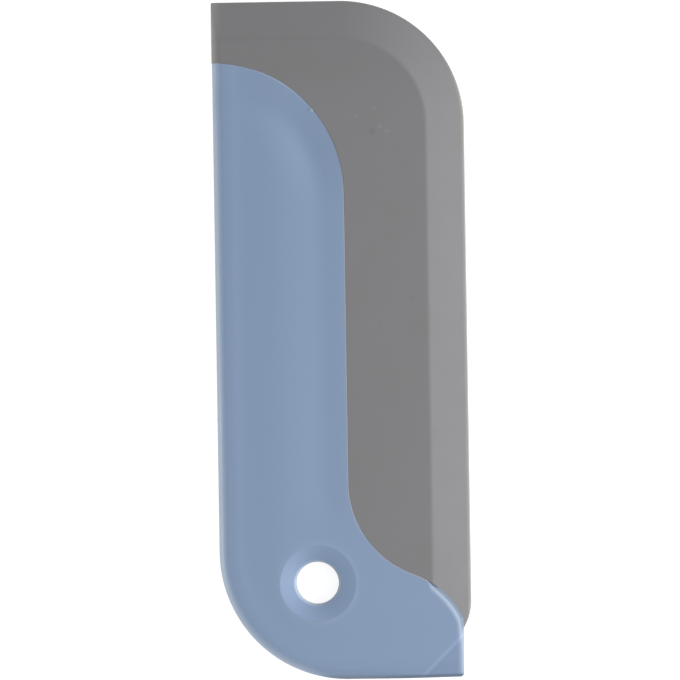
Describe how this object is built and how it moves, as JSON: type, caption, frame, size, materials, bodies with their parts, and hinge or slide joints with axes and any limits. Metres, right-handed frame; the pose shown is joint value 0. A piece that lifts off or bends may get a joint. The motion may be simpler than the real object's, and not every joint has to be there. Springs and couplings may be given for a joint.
{
  "type": "hand squeegee",
  "caption": "Flat hand squeegee: a rigid grip with a hanging eye and a scraping corner, and a soft bevelled blade round its top and side.",
  "frame": {"origin": "centre of the underside of the tool's bounding box, as it lies flat on its back", "axes": "+Y along the tool from the grip's foot to the top lip, +X from the spine to the side lip, +Z out of the front face"},
  "size_m": [0.0596, 0.1604, 0.006],
  "materials": {
    "grip": "matte pale blue polypropylene",
    "blade": "matte grey thermoplastic rubber"
  },
  "bodies": {
    "root": {"grip": "grip", "blade": "blade"}
  },
  "joints": []
}
